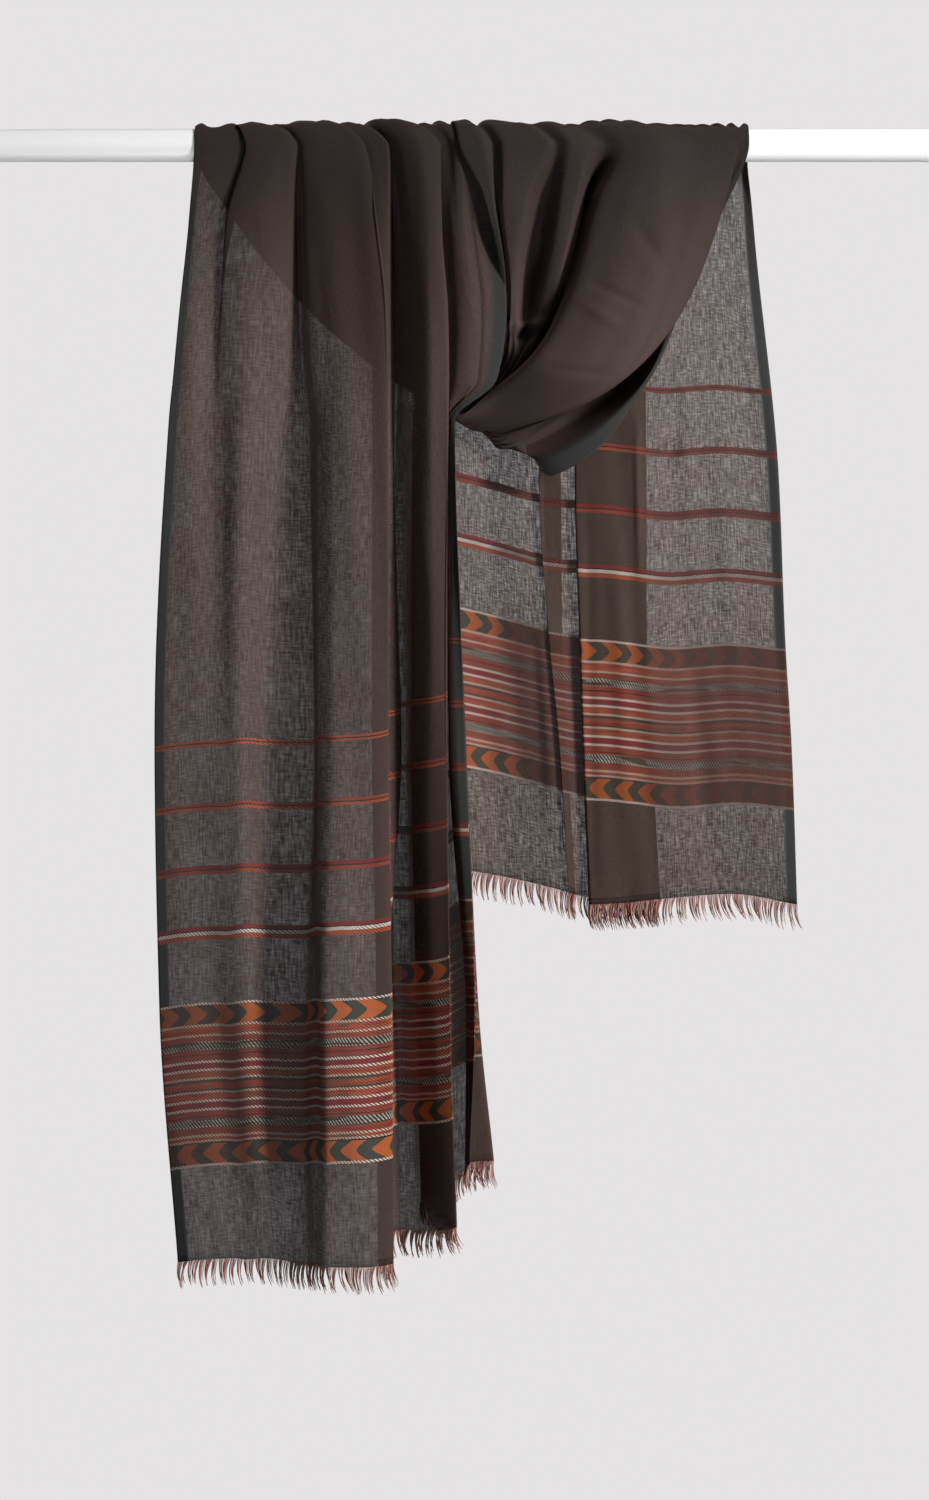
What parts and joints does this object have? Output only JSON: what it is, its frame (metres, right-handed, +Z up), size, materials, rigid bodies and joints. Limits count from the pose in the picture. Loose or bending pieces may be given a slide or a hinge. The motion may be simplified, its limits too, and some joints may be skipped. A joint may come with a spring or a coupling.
{
  "type": "wool stole on a rod",
  "caption": "Sheer woven stole with fringed ends, wound once round a plain horizontal rod and hanging in soft pleats in front and behind.",
  "frame": {"origin": "on the rod's axis, midway between its ends, where the rod is held", "axes": "+X along the rod to the right as seen from the front, +Y away from the viewer, +Z up"},
  "size_m": [0.76, 0.1061, 0.8908],
  "materials": {
    "woven_wool": "sheer matt twill weave",
    "fringe_yarn": "twisted wool yarn",
    "rod_paint": "satin white paint"
  },
  "bodies": {
    "root": {"front_fall": "woven_wool", "loop_back": "woven_wool", "swag": "woven_wool", "back_fall": "woven_wool", "front_fringe": "fringe_yarn", "back_fringe": "fringe_yarn", "rod": "rod_paint"}
  },
  "joints": []
}
